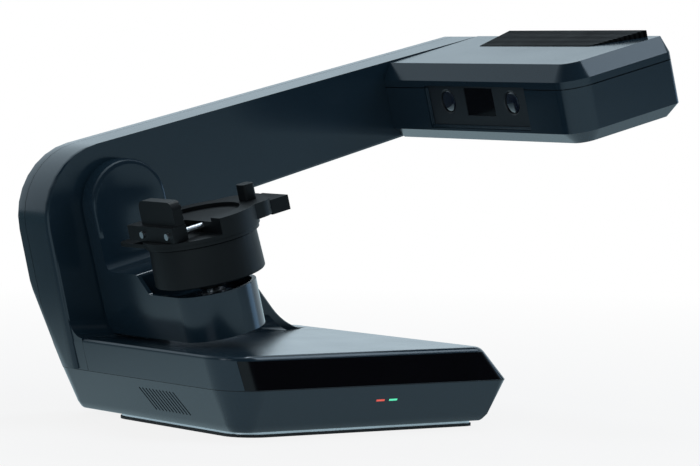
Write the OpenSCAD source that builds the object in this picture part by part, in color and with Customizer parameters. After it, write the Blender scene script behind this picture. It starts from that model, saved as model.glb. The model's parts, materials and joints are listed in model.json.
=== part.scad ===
// Desktop 3D scanner for dental casts: a C-shaped frame carries an optical
// head over a swinging, turning model holder. Millimetres, +Z up, front at -Y.
// The origin is on the table, under the middle of the base.

/* [Base] */
// Width of the base at its widest edge, along X
base_w = 240; // [220:1:270]
// Depth of the base at its widest edge, along Y
base_d = 258; // [240:1:280]
// Height of the widest edge, where the lower and upper shells part
seam_z = 35; // [30:0.5:40]
// Height of the flat top of the base
top_z = 59; // [54:0.5:64]
// Inward flare of the lower shell below its widest edge
flare = 14; // [10:0.5:18]
// Setback of the right end between the widest edge and the top
right_slant = 20.5; // [14:0.5:26]
// Setback of the front between the widest edge and the top
front_slant = 3; // [1:0.5:6]
// Setback of the rear between the widest edge and the top
rear_slant = 2; // [1:0.5:4]
// Corner radius at the left of the base, seen from above
left_corner_r = 28; // [15:1:34]
// Corner radius at the right of the base, seen from above
right_corner_r = 10; // [6:1:16]
// Soft edge round the flat top
top_edge = 3.5; // [2:0.25:5]
// Width of the resting plate, along X
plate_w = 204; // [180:1:208]
// Front-to-back length of the resting plate
plate_d = 180; // [150:1:200]
// Thickness of the steel bottom plate
plate_t = 2; // [1.5:0.5:3]
// Thickness of the non-slip rubber mat under it
mat_t = 2; // [1:0.5:3]
// Thickness of the ballast slab inside the base
ballast_t = 8; // [5:1:10]

/* [Frame] */
// Backward lean of the frame, arm and head
tilt = 14.5; // [12:0.5:17]
// Height of the swing axis above the table
pivot_z = 159.5; // [158.5:0.5:168]
// Distance of the swing axis from the middle of the base, along X
pivot_x = -87.5; // [-90:0.5:-83]
// Thickness of the frame, front to back
frame_t = 45; // [40:1:50]
// Length of the frame along the arm, from the swing axis to the head's end
arm_reach = 353.5; // [345:0.5:365]
// Height of the arm's top over the swing axis, near the swing axis
arm_top = 46; // [44:0.5:50]
// Height of the head's top over the swing axis
head_top = 41; // [38:0.5:43]
// Depth of the arm's bottom below the swing axis, at the head
head_bottom = 19; // [16:0.5:22]
// Radius of the large corner between column and arm
shoulder_r = 54; // [40:1:60]
// Radius of the inner corner under the arm
throat_r = 30; // [20:1:36]
// Radius where the column runs out into the base top
toe_r = 50; // [40:1:56]
// Slope of the column's right edge, from level
toe_slope = 50; // [46:1:56]
// Distance of that slope's foot from the middle of the base, along X
toe_x = 66; // [60:1:68]
// Wall of the plastic shells
wall = 2.8; // [2:0.2:3.4]

/* [Head] */
// Length of the head along the arm
head_w = 98.5; // [90:0.5:110]
// Distance from the turntable axis to the front end of the head
head_front = 127; // [115:1:135]
// Height of the parting line between head housing and cover, over the swing axis
parting = 23.5; // [21:0.5:26]
// Bevel round the top of the head, across
top_bevel = 8; // [5:0.5:10]
// Bevel round the bottom of the head
bottom_bevel = 9; // [5:0.5:11]
// Corner radius at the left front of the head
head_corner_r = 20; // [12:1:26]
// Distance between the two camera windows
camera_pitch = 81; // [70:1:84]
// Diameter of each camera window
window_d = 16.4; // [12:0.2:20]
// Width of the projector window
projector_w = 36; // [26:1:44]
// Height of the projector window
projector_h = 21.5; // [16:0.5:21.5]
// Depth of the sunk window panel
panel_sink = 3; // [2:0.5:5]

/* [Swing and turntable] */
// Turntable axis, measured along Y from the middle of the base
axis_y = -26; // [-32:1:-20]
// Half width of the swing bracket and radius of its round ends
bracket_r = 32; // [30:0.5:34]
// Thickness of the upright plate of the bracket
bracket_t = 16; // [12:0.5:18]
// Running gap between the bracket and the frame
bracket_gap = 2; // [1:0.25:3]
// Bottom of the bracket's foot below the swing axis
foot_bottom = 93; // [90:0.5:94]
// Top of the foot's ring below the swing axis
foot_ring = 59.5; // [57:0.5:62]
// Top of the foot's step below the swing axis
foot_step = 45; // [42:0.5:48]
// Radius of the turntable drum at its top
drum_r = 39.5; // [34:0.5:42]
// Height of the turntable drum
drum_h = 29.5; // [24:0.5:32]
// Gap between the drum and the foot's ring
drum_gap = 7.5; // [5:0.5:9]
// Radius of the swing shaft
swing_shaft_r = 8; // [6:0.5:10]
// Radius of the turntable spindle
spindle_r = 5; // [4:0.5:6]
// Running clearance of both shafts, on the radius
running_gap = 0.05; // [0.02:0.01:0.1]

/* [Model holder] */
// Radius of the round tray
tray_r = 43; // [40:0.5:48]
// Height of the tray's rim over its lower face
tray_h = 14.5; // [12:0.5:16]
// Height of the tray's floor over its lower face
tray_floor = 11.5; // [9:0.5:13]
// Width of the moving jaw's upright, along Y
jaw_w = 46; // [36:1:52]
// Height of the moving jaw's upright
jaw_h = 17.5; // [12:0.5:22]
// Thickness of the jaws
jaw_t = 8; // [6:0.5:10]
// Width of the fixed jaw, along Y
stop_w = 30; // [20:1:36]
// Height of the fixed jaw over its wing
stop_h = 12; // [8:0.5:16]
// Distance from the turntable axis to the face of the moving jaw
jaw_face = 25.5; // [22:0.5:30]
// Distance from the turntable axis to the face of the fixed jaw
stop_face = 33; // [28:0.5:36]

/* [Hidden] */
$fn = 64;

// seating gap between separate pieces, overlap used by cuts, and the hair's
// breadth that keeps two trimmed surfaces from lying in one plane
gap = 0.3;
eps = 0.1;
skin = 0.03;
// steps of the drawn arcs
arc_n = 8;
big_arc_n = 14;

// colours
shell_c = "#2b333d";
dark_c = "#14171b";
gloss_c = "#060708";
steel_c = "#8d9297";
alu_c = "#b3b7bb";
board_c = "#1f5a35";
glass_c = "#10131c";

// heights and places in the base
mat_top = mat_t;
shell_bottom = mat_t + plate_t;
rear_y = base_d / 2;
front_y = -base_d / 2;
frame_y0 = rear_y - frame_t;
cove_r = 14;
joint_y = frame_y0 - cove_r;
plate_y0 = front_y + flare + 4;
left_lean = tan(tilt);
rib_t = 2;
boss_r = 4;
screw_r = 1.6;
screw_head_r = 3;
screw_head_h = 2;

// points of the world's XZ plane in the leaning frame's own axes
function leaning(x, z) =
    let (dx = x - pivot_x, dz = z - pivot_z)
    [dx * cos(tilt) + dz * sin(tilt), dz * cos(tilt) - dx * sin(tilt)];

// ---- outlines: lists of [x, y, corner radius, edge weight], counterclockwise ----

function unit(v) = v / norm(v);
function xy(p) = [p[0], p[1]];
function left_of(a, b) = let (e = unit(b - a)) [-e[1], e[0]];
function convex(a, b, c) = cross(b - a, c - b) > 0;

// where two lines meet, each given by a point and a direction in degrees
function meet(p, s, q, t) =
    let (u = [cos(s), sin(s)], v = [cos(t), sin(t)])
    p + u * cross(q - p, v) / cross(u, v);

function moved_corner(a, b, c, d, e) =
    let (m = left_of(a, b), n = left_of(b, c), k = m * n)
    1 - k * k < 0.00001 ? b + d * m
                        : b + ((d - e * k) * m + (e - d * k) * n) / (1 - k * k);

function corner_arc(a, b, c, r, n) =
    let (u = unit(a - b), v = unit(c - b), half = acos(u * v) / 2,
         centre = b + unit(u + v) * r / sin(half),
         p = b + u * r / tan(half), q = b + v * r / tan(half),
         s = atan2(p[1] - centre[1], p[0] - centre[0]),
         e = atan2(q[1] - centre[1], q[0] - centre[0]),
         turn = (e - s + 540) % 360 - 180)
    [for (i = [0:n]) centre + r * [cos(s + turn * i / n), sin(s + turn * i / n)]];

// the outline with every edge moved inwards by d, or by d times its weight
function inset(path, d, weighted = false) =
    let (m = len(path),
         w = [for (p = path) weighted ? d * p[3] : d],
         moved = [for (i = [0:m - 1])
             moved_corner(xy(path[(i + m - 1) % m]), xy(path[i]), xy(path[(i + 1) % m]),
                          w[(i + m - 1) % m], w[i])])
    [for (i = [0:m - 1])
        let (a = xy(path[(i + m - 1) % m]), b = xy(path[i]), c = xy(path[(i + 1) % m]),
             mean = (w[(i + m - 1) % m] + w[i]) / 2,
             r = path[i][2] + (convex(a, b, c) ? -mean : mean))
        each path[i][2] == 0
            ? [moved[i]]
            : corner_arc(moved[(i + m - 1) % m], moved[i], moved[(i + 1) % m], max(r, 0.2),
                         len(path[i]) > 4 ? path[i][4]
                                          : (path[i][2] > 15 ? arc_n : (path[i][2] > 2 ? 4 : 1)))];

// a rounded rectangle as an outline; radii run counterclockwise from low x, low y
function box_path(x0, y0, x1, y1, r) =
    [[x0, y0, r[0], 1], [x1, y0, r[1], 1], [x1, y1, r[2], 1], [x0, y1, r[3], 1]];

// a solid skinned over rings of equal point counts: [[outline, height], ...]
module loft(rings) {
    n = len(rings[0][0]);
    last = (len(rings) - 1) * n;
    points = [for (ring = rings) for (p = ring[0]) [p[0], p[1], ring[1]]];
    sides = [for (j = [0:len(rings) - 2]) for (i = [0:n - 1]) each
        let (a = j * n + i, b = j * n + (i + 1) % n)
        [[a, a + n, b + n], [a, b + n, b]]];
    polyhedron(points, concat([[for (i = [0:n - 1]) i]], sides,
                              [[for (i = [n - 1:-1:0]) last + i]]), convexity = 8);
}

module block(x0, y0, z0, x1, y1, z1) {
    translate([x0, y0, z0])
        cube([x1 - x0, y1 - y0, z1 - z0]);
}

// children drawn in the plane X, Z and given a depth from y0 to y1
module along_y(y0, y1) {
    translate([0, y1, 0])
        rotate([90, 0, 0])
            linear_extrude(height = y1 - y0)
                children();
}

// children drawn in the plane Y, Z and given a width from x0 to x1
module along_x(x0, x1) {
    translate([x0, 0, 0])
        rotate([90, 0, 90])
            linear_extrude(height = x1 - x0)
                children();
}

// the leaning axes of frame, head and swing: their origin is the swing axis
module leaned() {
    translate([pivot_x, 0, pivot_z])
        rotate([0, -tilt, 0])
            children();
}

// the turntable's own axes, leaning too
module on_axis() {
    leaned()
        translate([0, axis_y, 0])
            children();
}

module rod_y(r, y0, y1) {
    translate([0, y1, 0])
        rotate([90, 0, 0])
            cylinder(r = r, h = y1 - y0);
}

module rod_x(r, x0, x1) {
    translate([x0, 0, 0])
        rotate([0, 90, 0])
            cylinder(r = r, h = x1 - x0);
}

// ---- the base ----

function base_left(z) = -base_w / 2 - (z - seam_z) * left_lean;
function base_right(z) = base_w / 2 - right_slant * (z - seam_z) / (top_z - seam_z);
function base_front(z) = front_y + front_slant * (z - seam_z) / (top_z - seam_z);
function base_rear(z) = rear_y - rear_slant * (z - seam_z) / (top_z - seam_z);
corner_radii = [left_corner_r, right_corner_r, right_corner_r, left_corner_r];

function base_ring(z, d) =
    inset(box_path(base_left(z), base_front(z), base_right(z), base_rear(z), corner_radii), d);

module base_solid(below = 0) {
    loft(concat([[base_ring(seam_z - below, 0), seam_z - below]],
                [for (t = [0:30:90])
                    let (z = top_z - top_edge * (1 - sin(t)))
                    [base_ring(z, top_edge * (1 - cos(t))), z]]));
}

module base_hollow(d = wall) {
    loft([[base_ring(seam_z, d), seam_z - 2],
          [base_ring(top_z - d, d + top_edge / 2), top_z - d]]);
}

function hull_ring(z) =
    let (down = (seam_z - z) / (seam_z - shell_bottom))
    flare * down;

module lower_solid(d = 0) {
    path = box_path(-base_w / 2, front_y, base_w / 2, rear_y, corner_radii);
    round_h = 5;
    loft([[inset(path, flare + 2 + d), shell_bottom + d],
          [inset(path, hull_ring(shell_bottom + 1.2) + 1 + d), shell_bottom + 1.2 + d],
          [inset(path, hull_ring(shell_bottom + round_h) + d), shell_bottom + round_h + d],
          [inset(path, d), seam_z + (d > 0 ? eps : 0)]]);
}

// the strip's outline on the front of the base, seen from the front
module fascia_outline(d = 0) {
    top = top_z - top_edge;
    left = -base_w / 2 + 13;
    right = base_w / 2 - 5;
    fall = right_slant * (top - seam_z) / (top_z - seam_z);
    polygon([[left + d, seam_z - (d > 0 ? 0 : eps)],
             [right - d, seam_z - (d > 0 ? 0 : eps)],
             [right - fall - d, top],
             [left - (top - seam_z) * left_lean + d, top]]);
}

fascia_t = 2;

module fascia_depth(d) {
    loft([[base_ring(seam_z, d), seam_z - 1],
          [base_ring(top_z, d), top_z + 1]]);
}

post_xs = [-96, 84];
post_ys = [front_y + 34, joint_y - 12];

module posts(r, z0, z1) {
    for (x = post_xs, y = post_ys)
        translate([x, y, z0])
            cylinder(r = r, h = z1 - z0);
}

module foot_mat() {
    color("#1b1c1e")
        linear_extrude(height = mat_t)
            polygon(inset(box_path(-plate_w / 2, plate_y0, plate_w / 2, plate_y0 + plate_d,
                                   [22, 8, 8, 22]), 0));
}

module bottom_plate() {
    color(steel_c)
        difference() {
            translate([0, 0, mat_top])
                linear_extrude(height = plate_t)
                    polygon(inset(box_path(-plate_w / 2, plate_y0, plate_w / 2,
                                           plate_y0 + plate_d, [22, 8, 8, 22]), 1));
            posts(screw_r, 0, shell_bottom + eps);
        }
}

vent_count = 11;
vent_pitch = 4.64;
vent_y = -4.7;
vent_z = 20.2;
vent_turn = 41.5;
led_xs = [8.5, 19.5];
led_z = 23.6;
led_w = 7;
led_h = 1.3;

module led_box(x, d) {
    block(x - led_w / 2 - d, front_y, led_z - led_h / 2 - d,
          x + led_w / 2 + d, front_y + flare + 6, led_z + led_h / 2 + d);
}

module lower_shell() {
    color(shell_c)
        difference() {
            union() {
                difference() {
                    lower_solid();
                    lower_solid(wall);
                }
                posts(boss_r, shell_bottom, seam_z - 6);
                // stiffening ribs on the floor
                for (x = [-45, -15, 15, 45])
                    block(x - rib_t / 2, front_y + flare + 6, shell_bottom + 1,
                          x + rib_t / 2, rear_y - flare - 6, shell_bottom + wall + 3);
                board_posts();
            }
            posts(screw_r, 0, seam_z);
            // slanted vents in the left side
            for (i = [0:vent_count - 1])
                translate([-base_w / 2 + flare / 2 - 1, vent_y - i * vent_pitch, vent_z])
                    rotate([-vent_turn, 0, 0])
                        cube([2 * flare, 1.3, 20.7], center = true);
            for (x = led_xs)
                led_box(x, 0.1);
        }
}

module base_cover() {
    color(shell_c)
        difference() {
            union() {
                difference() {
                    base_solid();
                    difference() {
                        base_hollow();
                        // thicker front wall behind the strip
                        along_y(front_y - 1, front_y + fascia_t + wall + front_slant)
                            fascia_outline();
                    }
                }
                intersection() {
                    posts(boss_r, seam_z - 5.7, top_z - wall);
                    block(-base_w, front_y, 0, base_w, rear_y, top_z);
                }
                // ribs under the top
                for (x = [-50, 0, 50])
                    block(x - rib_t / 2, front_y + 12, top_z - 10,
                          x + rib_t / 2, joint_y - 6, top_z - wall / 2);
            }
            posts(screw_r, 0, top_z - 2 * wall);
            block(-base_w, joint_y, 0, base_w, rear_y + 1, top_z + 1);
            intersection() {
                along_y(front_y - 1, front_y + left_corner_r)
                    fascia_outline();
                difference() {
                    fascia_depth(-1);
                    fascia_depth(fascia_t);
                }
            }
        }
}

module front_fascia() {
    color(gloss_c)
        intersection() {
            along_y(front_y - 1, front_y + left_corner_r)
                fascia_outline(0.1);
            difference() {
                fascia_depth(0);
                fascia_depth(fascia_t);
            }
        }
}

// ---- the frame: column, arm and the band that joins the base ----

head_a = arm_reach - head_w;
arm_rise = 1.25;
toe_end = toe_x + toe_r * tan(toe_slope / 2) + 2;
toe_dive = 1.5;
toe_foot = leaning(toe_x, top_z - eps);
throat = meet(toe_foot, 180 - toe_slope - tilt, [arm_reach, 2 - head_bottom], arm_rise);
split_y = rear_y - 12;
face_edge = 3.5;
rear_edge = 2.5;
plate_y = frame_y0 + 15;

left_a = leaning(-base_w / 2, seam_z)[0] + 0.15;

// the frame's outline seen from the front, in the leaning axes; it runs down
// past the seam, where it is trimmed level
frame_path = [concat(leaning(-base_w / 2, seam_z - 12), [0.2, 0]),
              concat(leaning(toe_end, seam_z - 12), [0.2, 0]),
              concat(leaning(toe_end, top_z - toe_dive), [0.2, 0]),
              concat(toe_foot, [toe_r, 0.5]),
              concat(throat, [throat_r, 0.6]),
              [arm_reach, 2 - head_bottom, 4, 0],
              [arm_reach, head_top, 4, 0],
              [left_a, arm_top + 0.7, shoulder_r, 1]];

// cuts that round the rear left corner: they all pass through one point of
// the corner's edge, so the corner grows rounder towards the table
corner_top = seam_z + 58;

module corner_cut(d = 0) {
    top = [base_left(corner_top), rear_y, corner_top];
    centre = [base_left(seam_z) + left_corner_r, rear_y - left_corner_r, seam_z];
    for (turn = [15:15:75]) {
        touch = centre + left_corner_r * [-cos(turn), sin(turn), 0];
        normal = cross([sin(turn), cos(turn), 0], touch - top);
        out = normal * [-1, 1, 0] > 0 ? normal : -normal;
        translate(top)
            rotate([0, acos(out[2] / norm(out)), atan2(out[1], out[0])])
                translate([-base_w, -base_w, -d])
                    cube(2 * base_w);
    }
}

// outline rings for a face whose edge is rounded by e; the last ring lies
// beyond the face, which is trimmed flat
function edge_rings(y, way, e, weighted) =
    [[inset(frame_path, 0), -y + way * e],
     [inset(frame_path, e * 0.3, weighted), -y + way * e * 0.3],
     [inset(frame_path, e * 1.28, weighted), -y - way * e * 0.12]];

module slab_solid() {
    difference() {
        intersection() {
            leaned()
                rotate([90, 0, 0])
                    loft(concat([for (i = [2:-1:0]) edge_rings(rear_y, 1, rear_edge, false)[i]],
                                edge_rings(frame_y0, -1, face_edge, true)));
            block(-2 * base_w, frame_y0, seam_z - 1, 2 * base_w, rear_y, 2 * pivot_z);
        }
        corner_cut();
    }
}

module frame_prism(y0, y1, d) {
    leaned()
        along_y(y0, y1)
            polygon(inset(frame_path, d));
}

module slab_hollow() {
    difference() {
        frame_prism(frame_y0 + wall, rear_y - wall, wall + 0.2);
        corner_cut(wall);
    }
}

// the concave run-out between the column's face and the base top
module cove_profile(d = 0) {
    difference() {
        translate([joint_y, top_z - 12])
            square([cove_r + 2 + d, cove_r + 11 - d / 2]);
        translate([joint_y + 0.15, top_z + cove_r - 0.15])
            circle(r = cove_r + d);
    }
}

module cove(d = 0) {
    run = 9 + d;
    intersection() {
        along_x(-base_w, toe_end)
            cove_profile(d);
        along_y(0, rear_y)
            polygon([for (z = [top_z - 25, top_z + 25])
                         [base_left(z) + 0.3 + d, z],
                     for (z = [top_z + 25, top_z - 25])
                         [toe_x - run - (z - top_z) / tan(toe_slope), z]]);
    }
}

// where the band round the base is the frame's own: before the column and
// right of its toe
module band_area(d = 0) {
    translate([0, 0, seam_z - 5])
        linear_extrude(height = 40)
            polygon([[-base_w, joint_y + d], [base_w, joint_y + d], [base_w, rear_y + 1 - d],
                     [toe_end - 6, rear_y + 1 - d], [toe_end - 6, frame_y0 + 6],
                     [-base_w, frame_y0 + 6]]);
}

module frame_solid() {
    slab_solid();
    cove();
    intersection() {
        base_solid(1);
        band_area();
    }
}

module frame_hollow() {
    slab_hollow();
    cove(wall + 0.5);
    intersection() {
        base_hollow(wall + 1);
        band_area(wall);
    }
}

back_points = [[-44, -80], [-34, 22], [40, -95], [120, 28], [120, -10],
               [arm_reach - 13.5, head_top - 11], [arm_reach - 13.5, 13 - head_bottom]];

module at_back_points() {
    leaned()
        for (p = back_points)
            translate([p[0], 0, p[1]])
                children();
}

arm_door_y = frame_y0 + wall + 1;

module frame_shell() {
    color(shell_c)
        difference() {
            union() {
                difference() {
                    intersection() {
                        frame_solid();
                        block(-base_w, 0, seam_z, 2 * base_w, split_y - eps, 2 * pivot_z);
                    }
                    frame_hollow();
                }
                at_back_points()
                    rod_y(boss_r, frame_y0 + wall / 2, split_y - eps);
                // shoulders that carry the spine plate
                at_back_points()
                    rod_y(boss_r + 3, frame_y0 + wall / 2, plate_y);
            }
            at_back_points()
                rod_y(screw_r, plate_y, split_y + 1);
            leaned()
                rod_y(swing_shaft_r + 1, frame_y0 - 1, frame_y0 + wall + 1);
            // passage for the head's wiring
            leaned()
                block(head_a + 25, frame_y0 - 1, 0, arm_reach - 25, arm_door_y, head_top - 18);
        }
}

inlet_x = -62;
port_x = -22;
button_x = 18;
service_z = 62;
button_r = 8;

module inlet_cut(d) {
    block(inlet_x - 14 - d, rear_y - 20, service_z - 10 - d,
          inlet_x + 14 + d, rear_y + 1, service_z + 10 + d);
}

module port_cut(d) {
    block(port_x - 6 - d, rear_y - 16, service_z - 5.5 - d,
          port_x + 6 + d, rear_y + 1, service_z + 5.5 + d);
}

module frame_back_cover() {
    color(shell_c)
        difference() {
            union() {
                difference() {
                    intersection() {
                        frame_solid();
                        block(-base_w, split_y, seam_z, 2 * base_w, rear_y + 1, 2 * pivot_z);
                    }
                    frame_hollow();
                }
                at_back_points()
                    rod_y(boss_r, split_y, rear_y - wall / 2);
            }
            at_back_points()
                rod_y(screw_r, split_y - 1, rear_y + 1);
            at_back_points()
                rod_y(screw_head_r, rear_y - screw_head_h - 0.5, rear_y + 1);
            inlet_cut(0);
            port_cut(0);
            translate([button_x, 0, service_z])
                rod_y(button_r + gap, split_y, rear_y + 1);
            // cooling slots behind the swing motor
            leaned()
                for (i = [-4:4])
                    block(i * 6 - 1.5, rear_y - wall - 1, -20, i * 6 + 1.5, rear_y + 1, 20);
        }
}

module back_screws() {
    color(steel_c)
        at_back_points()
            difference() {
                union() {
                    rod_y(screw_r, plate_y + 2, rear_y - screw_head_h - 0.5 + eps);
                    rod_y(screw_head_r, rear_y - screw_head_h - 0.5, rear_y - 0.5);
                }
                rod_y(1.2, rear_y - 1.7, rear_y);
            }
}

bearing_r = 17;
motor_r = 21;

module spine_plate() {
    color(steel_c)
        difference() {
            leaned()
                along_y(plate_y, plate_y + 3)
                    difference() {
                        polygon(inset(frame_path, wall + 2));
                        for (p = back_points)
                            translate(p)
                                circle(r = boss_r + 0.5);
                        circle(r = swing_shaft_r);
                        for (a = [95, 185, 235])
                            translate([a, 9])
                                circle(r = 13);
                    }
            block(-base_w, 0, 0, base_w, rear_y, top_z + cove_r);
        }
}

module bearing_housing() {
    color(alu_c)
        leaned()
            difference() {
                rod_y(bearing_r, frame_y0 + wall, plate_y);
                rod_y(swing_shaft_r + running_gap, frame_y0, plate_y + 1);
            }
}

module swing_motor() {
    color("#3b3e42")
        leaned() {
            rod_y(swing_shaft_r, plate_y + gap, plate_y + 3 + eps);
            rod_y(motor_r, plate_y + 3, plate_y + 14);
            rod_y(motor_r - 5, plate_y + 14 - eps, rear_y - wall - 3);
        }
}

module power_inlet() {
    color(dark_c)
        difference() {
            inlet_cut(0);
            block(inlet_x - 11, rear_y - 14, service_z - 7, inlet_x + 11, rear_y + 2,
                  service_z + 7);
            block(-base_w, rear_y + 0.5, 0, base_w, rear_y + 2, top_z + 40);
        }
    color(steel_c)
        for (x = [-7, 0, 7])
            block(inlet_x + x - 1, rear_y - 14 - eps, service_z - 2 - (x == 0 ? 2 : 0),
                  inlet_x + x + 1, rear_y - 7.5, service_z + 2 - (x == 0 ? 2 : 0));
}

module data_port() {
    color(steel_c)
        difference() {
            port_cut(0);
            block(port_x - 4.8, rear_y - 10, service_z - 4.3, port_x + 4.8, rear_y + 2,
                  service_z + 4.3);
            block(-base_w, rear_y + 0.4, 0, base_w, rear_y + 2, top_z + 40);
        }
    color(dark_c)
        block(port_x - 2.8, rear_y - 10 - eps, service_z - 1.6, port_x + 2.8, rear_y - 5.5,
              service_z + 1.6);
}

button_out = 1.8;
button_travel = 1.5;

module power_button() {
    color(dark_c)
        translate([button_x, 0, service_z]) {
            difference() {
                rod_y(button_r, rear_y - 8, rear_y + button_out);
                translate([0, rear_y + button_out + 9, 0])
                    sphere(r = 9.8);
            }
            rod_y(button_r + 1.5, rear_y - wall - gap - 2, rear_y - wall - gap);
        }
}

module switch_body() {
    color("#26292c")
        translate([button_x, 0, service_z])
            difference() {
                rod_y(button_r + 4, rear_y - 14, rear_y - wall);
                rod_y(button_r + 1.8, rear_y - 11, rear_y);
            }
}

// ---- inside the base ----

module ballast() {
    color(steel_c)
        difference() {
            for (x = [-58, 2])
                block(x, -70, shell_bottom + wall + 3, x + 56, 60,
                      shell_bottom + wall + 3 + ballast_t);
            translate([-30, 0, 0])
                cylinder(r = 3, h = top_z);
        }
}

board_z = top_z - 24;

module main_board() {
    color(board_c)
        block(-80, -76, board_z, 72, 50, board_z + 1.6);
    color(dark_c)
        for (p = [[-50, -30], [-10, 10], [30, -40]])
            block(p[0], p[1], board_z + 1.6 - eps, p[0] + 16, p[1] + 16, board_z + 4);
}

module board_posts() {
    for (x = [-74, 66], y = [-70, 44])
        translate([x, y, shell_bottom + wall - 1])
            cylinder(r = 3, h = board_z - shell_bottom - wall + 1);
}

module light_pipe(x) {
    intersection() {
        led_box(x, 0);
        lower_solid();
    }
    block(x - led_w / 2 - 1, front_y + flare + 2, led_z - 3, x + led_w / 2 + 1,
          front_y + flare + 6, led_z + 3);
}

module light_pipe_red() {
    color("#c8452c")
        light_pipe(led_xs[0]);
}

module light_pipe_green() {
    color("#3fae5c")
        light_pipe(led_xs[1]);
}

// ---- the optical head ----

head_y = axis_y - head_front;
optic_y = axis_y - 7.4;
optic_c = 12.3;
panel_y0 = optic_y - 62;
panel_y1 = optic_y + 65.5;
panel_c0 = -8.2;
panel_c1 = 25;
bevel_c = head_top - 12;

function head_path(right) =
    [[head_a, head_y, head_corner_r, 1], [arm_reach, head_y, 5, right],
     [arm_reach, frame_y0, 0.2, 0], [head_a, frame_y0, 0.2, 1]];

module head_body(d = 0) {
    path = inset_path(head_path(1), d);
    loft([[inset(path, bottom_bevel, true), -head_bottom + d],
          [inset(path, 0), -head_bottom + bottom_bevel + d / 2],
          [inset(path, 0), parting + (d > 0 ? eps : 0)]]);
}

// the same outline moved inwards, kept as an outline with radii
function inset_path(path, d) =
    let (m = len(path))
    [for (i = [0:m - 1])
        let (q = moved_corner(xy(path[(i + m - 1) % m]), xy(path[i]), xy(path[(i + 1) % m]),
                              d, d))
        [q[0], q[1], max(path[i][2] - d, 0.2), path[i][3], path[i][2] > 15 ? arc_n : 4]];

module head_lid(d = 0) {
    path = inset_path(head_path(0.25), d);
    loft([[inset(path, 0), parting - (d > 0 ? eps : 0)],
          [inset(path, 0), bevel_c - d / 3],
          [inset(path, top_bevel, true), head_top - d]]);
}

module window_cut(d = 0) {
    block(head_a - 1, panel_y0 - d, panel_c0 - d, head_a + wall + 0.2, panel_y1 + d,
          panel_c1 + d);
}

lid_screws = [[head_a + 16, 60], [arm_reach - 14, 60], [head_a + 24, head_y + 16],
              [arm_reach - 14, head_y + 16]];

module at_lid_screws() {
    for (p = lid_screws)
        translate([p[0], p[1], 0])
            children();
}

module head_housing() {
    color(shell_c)
        leaned()
            difference() {
                union() {
                    difference() {
                        head_body();
                        head_body(wall);
                    }
                    at_lid_screws()
                        translate([0, 0, -head_bottom + 1])
                            cylinder(r = boss_r, h = parting + head_bottom - 1);
                }
                at_lid_screws()
                    translate([0, 0, -head_bottom + 4])
                        cylinder(r = screw_r, h = 60);
                window_cut();
                block(head_a + 25, frame_y0 - wall - 1, 0, arm_reach - 25, frame_y0 + 1,
                      head_top - 18);
            }
}

grille_a1 = arm_reach - 4.5;
grille_a0 = grille_a1 - 31;
grille_rise = 5;
grille_low = head_top - 4.3;
slat_count = 12;
slat_pitch = (grille_a1 - grille_a0) / slat_count;
slat_t = 1.5;

module grille_plan(d = 0) {
    polygon([[grille_a0 - d, 37 + d], [grille_a0 - d, -101 - d], [grille_a1 + d, -133 - d],
             [grille_a1 + d, 37 + d]]);
}

module head_cover() {
    color(shell_c)
        leaned()
            difference() {
                union() {
                    difference() {
                        head_lid();
                        head_lid(wall);
                    }
                    at_lid_screws()
                        translate([0, 0, parting + gap])
                            cylinder(r = boss_r, h = head_top - parting - wall);
                }
                at_lid_screws()
                    translate([0, 0, 0])
                        cylinder(r = screw_r, h = parting + 6);
                window_cut();
                translate([0, 0, head_top - 8])
                    linear_extrude(height = 20)
                        grille_plan();
            }
}

module vent_grille() {
    color(gloss_c)
        leaned()
            difference() {
                union() {
                    intersection() {
                        translate([0, 0, grille_low])
                            linear_extrude(height = 20)
                                grille_plan();
                        along_y(-200, 100)
                            polygon([[grille_a0, grille_low], [grille_a1, grille_low],
                                     [grille_a1, head_top + grille_rise],
                                     [grille_a0, head_top + 0.3]]);
                    }
                    intersection() {
                        translate([0, 0, grille_low])
                            linear_extrude(height = head_top - wall - grille_low)
                                grille_plan(2);
                        block(0, -200, 0, grille_a1 - 1, 100, 60);
                    }
                }
                for (i = [0:slat_count - 1])
                    block(grille_a0 + (i + 0.5) * slat_pitch - (slat_pitch - slat_t) / 2, -150,
                          grille_low + 1.6,
                          grille_a0 + (i + 0.5) * slat_pitch + (slat_pitch - slat_t) / 2, 35.4,
                          60);
                for (j = [0:4])
                    block(grille_a0 + 3, -96 + j * 26, grille_low - 1, grille_a1 - 3,
                          -96 + j * 26 + 21, grille_low + 1.7);
            }
}

panel_t = 2;
panel_a = head_a + wall;

module window_panel() {
    color(dark_c)
        leaned()
            difference() {
                block(panel_a, panel_y0 - 1.5, panel_c0 - 0.5, panel_a + panel_t, panel_y1 + 1.5,
                      panel_c1 + 1.5);
                for (s = [-1, 1])
                    translate([0, optic_y + s * camera_pitch / 2, optic_c]) {
                        rod_x(window_d / 2, panel_a - 1, panel_a + panel_t + 1);
                        translate([panel_a - eps, 0, 0])
                            rotate([0, 90, 0])
                                cylinder(r1 = window_d / 2 + 1.6, r2 = window_d / 2, h = 1);
                    }
                block(panel_a - 1, optic_y - projector_w / 2, optic_c - projector_h / 2,
                      panel_a + panel_t + 1, optic_y + projector_w / 2,
                      optic_c + projector_h / 2);
            }
}

module camera_windows() {
    color(glass_c)
        leaned()
            for (s = [-1, 1])
                translate([0, optic_y + s * camera_pitch / 2, optic_c])
                    rod_x(window_d / 2, panel_a + 1, panel_a + panel_t);
}

module projector_window() {
    color(glass_c)
        leaned()
            block(panel_a + 0.8, optic_y - projector_w / 2, optic_c - projector_h / 2,
                  panel_a + panel_t, optic_y + projector_w / 2, optic_c + projector_h / 2);
}

optics_c = -head_bottom + wall;
optics_t = 2.5;

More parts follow.
